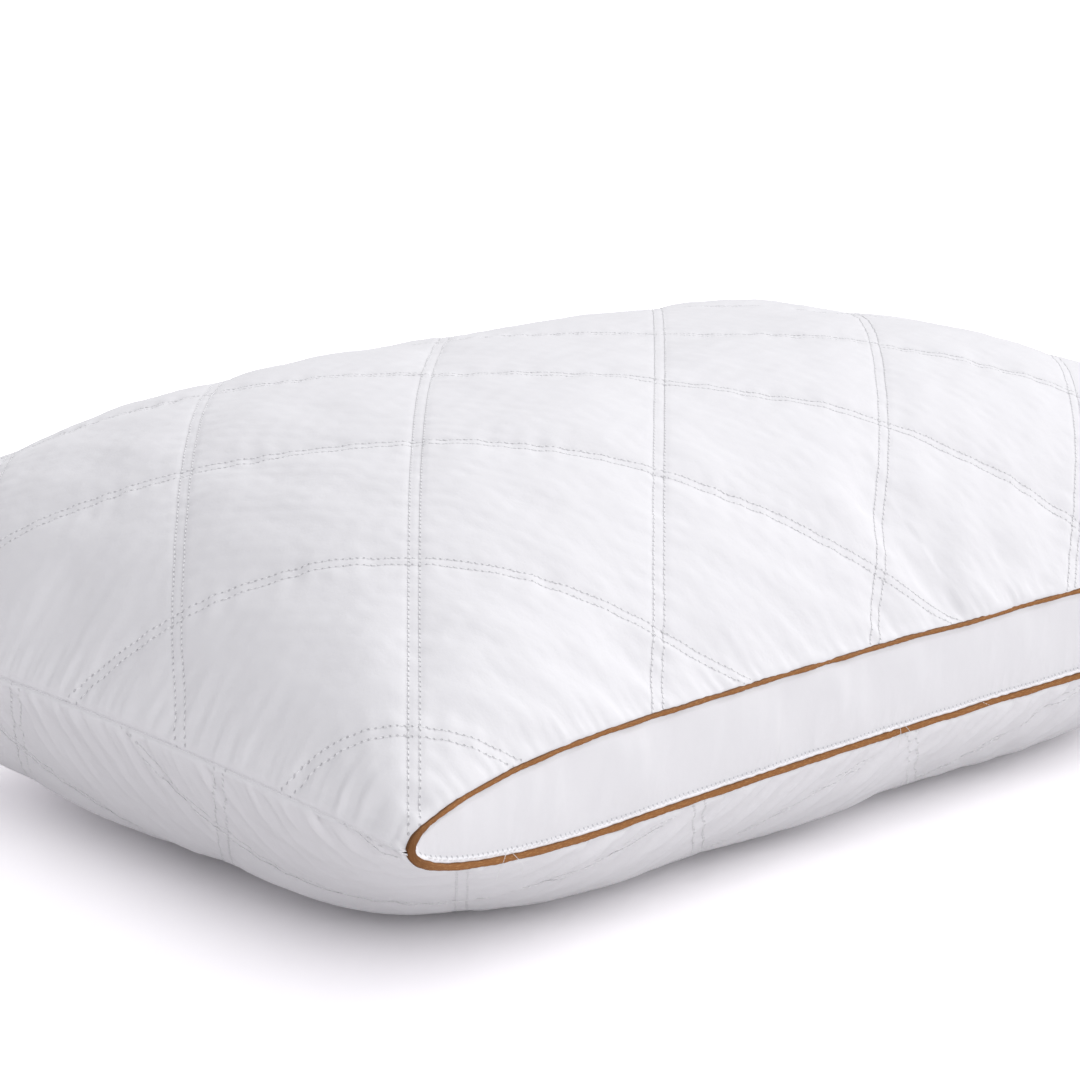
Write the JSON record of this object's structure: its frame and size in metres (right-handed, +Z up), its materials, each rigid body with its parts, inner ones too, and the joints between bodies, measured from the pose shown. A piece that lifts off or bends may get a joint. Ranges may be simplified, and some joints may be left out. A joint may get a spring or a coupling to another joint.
{
  "type": "bed pillow",
  "caption": "Full, crowned bed pillow with quilted top and bottom panels and piped, lens-shaped side gussets.",
  "frame": {"origin": "middle of the underside, on the surface that the pillow lies on", "axes": "+X along the long side, +Y along the short side from the front gusset to the back gusset, +Z up"},
  "size_m": [0.69, 0.4918, 0.2129],
  "materials": {
    "cotton": "close plain-weave cotton, matt",
    "gusset_cotton": "close plain-weave cotton, matt, not quilted",
    "lining": "thin non-woven backing",
    "wadding": "soft fibre wadding",
    "piping": "brown bias-cut cotton round a cord",
    "cord": "twisted cotton cord",
    "thread": "spun polyester sewing thread"
  },
  "bodies": {
    "root": {"top_shell": "cotton", "top_wadding": "wadding", "top_lining": "lining", "bottom_shell": "cotton", "bottom_wadding": "wadding", "bottom_lining": "lining", "fill": "wadding", "front_gusset": "gusset_cotton", "front_piping_cover": "piping", "front_piping_cord": "cord", "front_topstitch_thread": "thread", "back_gusset": "gusset_cotton", "back_piping_cover": "piping", "back_piping_cord": "cord", "back_topstitch_thread": "thread", "left_end_seam_thread": "thread", "right_end_seam_thread": "thread"}
  },
  "joints": []
}
